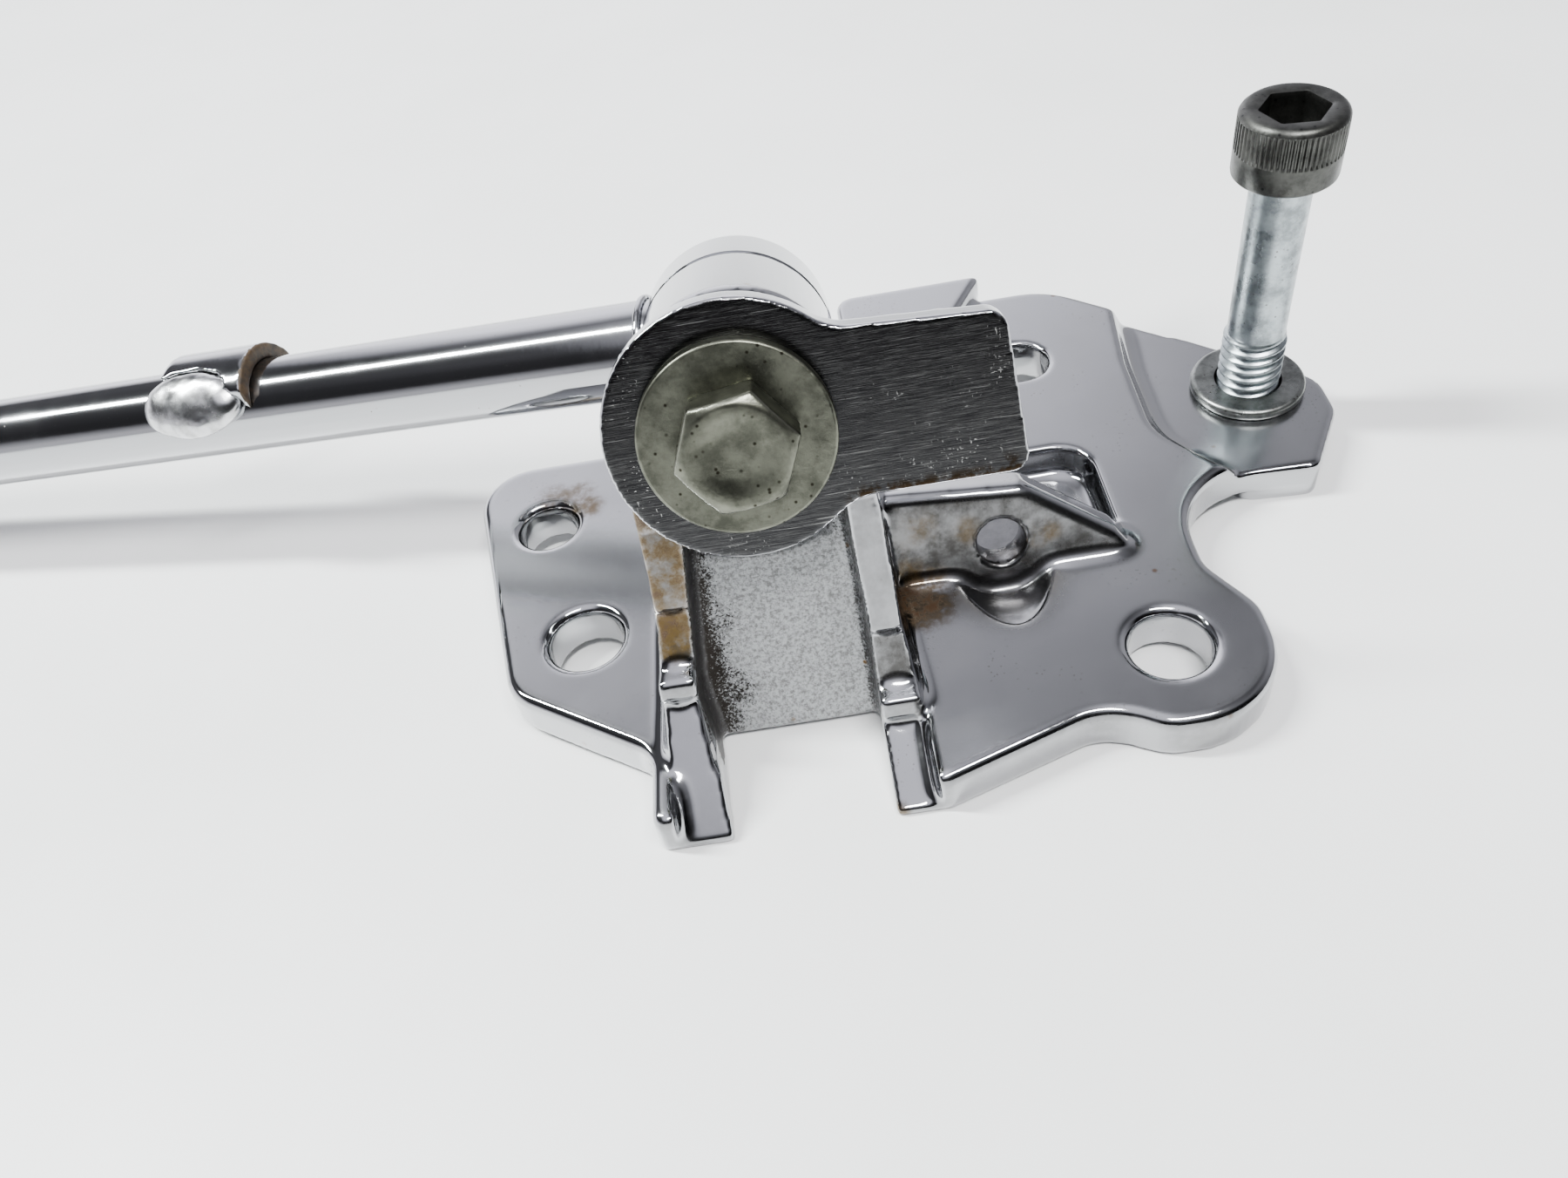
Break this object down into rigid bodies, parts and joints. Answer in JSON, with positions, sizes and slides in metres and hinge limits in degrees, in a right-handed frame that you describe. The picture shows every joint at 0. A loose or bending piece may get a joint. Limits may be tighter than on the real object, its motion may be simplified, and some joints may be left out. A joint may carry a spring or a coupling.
{
  "type": "motorcycle side stand bracket",
  "caption": "Chromed side stand bracket with a leaning pivot housing, lock channel and drilled lug, a swivelling leg with a flag shaped stop plate, and a loose socket head screw.",
  "frame": {"origin": "centre of the right mounting hole at the plate's back face", "axes": "+Z out of the plate towards the pivot, +X along the lock channel's lower edge with the leg pointing to -X, +Y from the ribs' feet to the screw pad"},
  "size_m": [0.3257, 0.1168, 0.0666],
  "materials": {
    "forged_chrome": "chrome plated forging, soft edges, rust stains at the corners",
    "bronze": "oiled sintered bronze",
    "dark_steel": "oily dark steel",
    "zinc_washer": "zinc plated, satin",
    "bare_steel": "machined steel",
    "leg_chrome": "bright chrome plate",
    "brushed_stop": "bare ground steel face with scratches, chromed edges",
    "dull_zinc": "weathered dull zinc plate",
    "zinc_screw": "zinc plated with a darker head"
  },
  "bodies": {
    "bracket": {"mounting_bracket": "forged_chrome", "front_bushing": "bronze", "rear_bushing": "bronze", "thrust_washer": "dark_steel", "rear_thrust_washer": "dark_steel", "mount_washer": "zinc_washer"},
    "leg": {"pivot_shaft": "bare_steel", "leg_hub": "leg_chrome", "leg_rod": "leg_chrome", "hub_weld": "leg_chrome", "spring_tab": "leg_chrome", "tab_weld": "leg_chrome", "leg_foot": "leg_chrome", "stop_plate": "brushed_stop", "stop_washer": "dull_zinc", "stop_bolt": "dull_zinc"},
    "screw": {"mount_screw": "zinc_screw"}
  },
  "joints": [
    {"name": "leg_swivel", "type": "hinge", "parent": "bracket", "child": "leg", "pos_m": [-0.0503, 0.0058, 0.0479], "axis": [0, 0.9354, -0.3535], "range_deg": [0, 90]},
    {"name": "screw_lift", "type": "slide", "parent": "bracket", "child": "screw", "axis": [0, 0, 1], "range_m": [-0.0354, 0]}
  ]
}
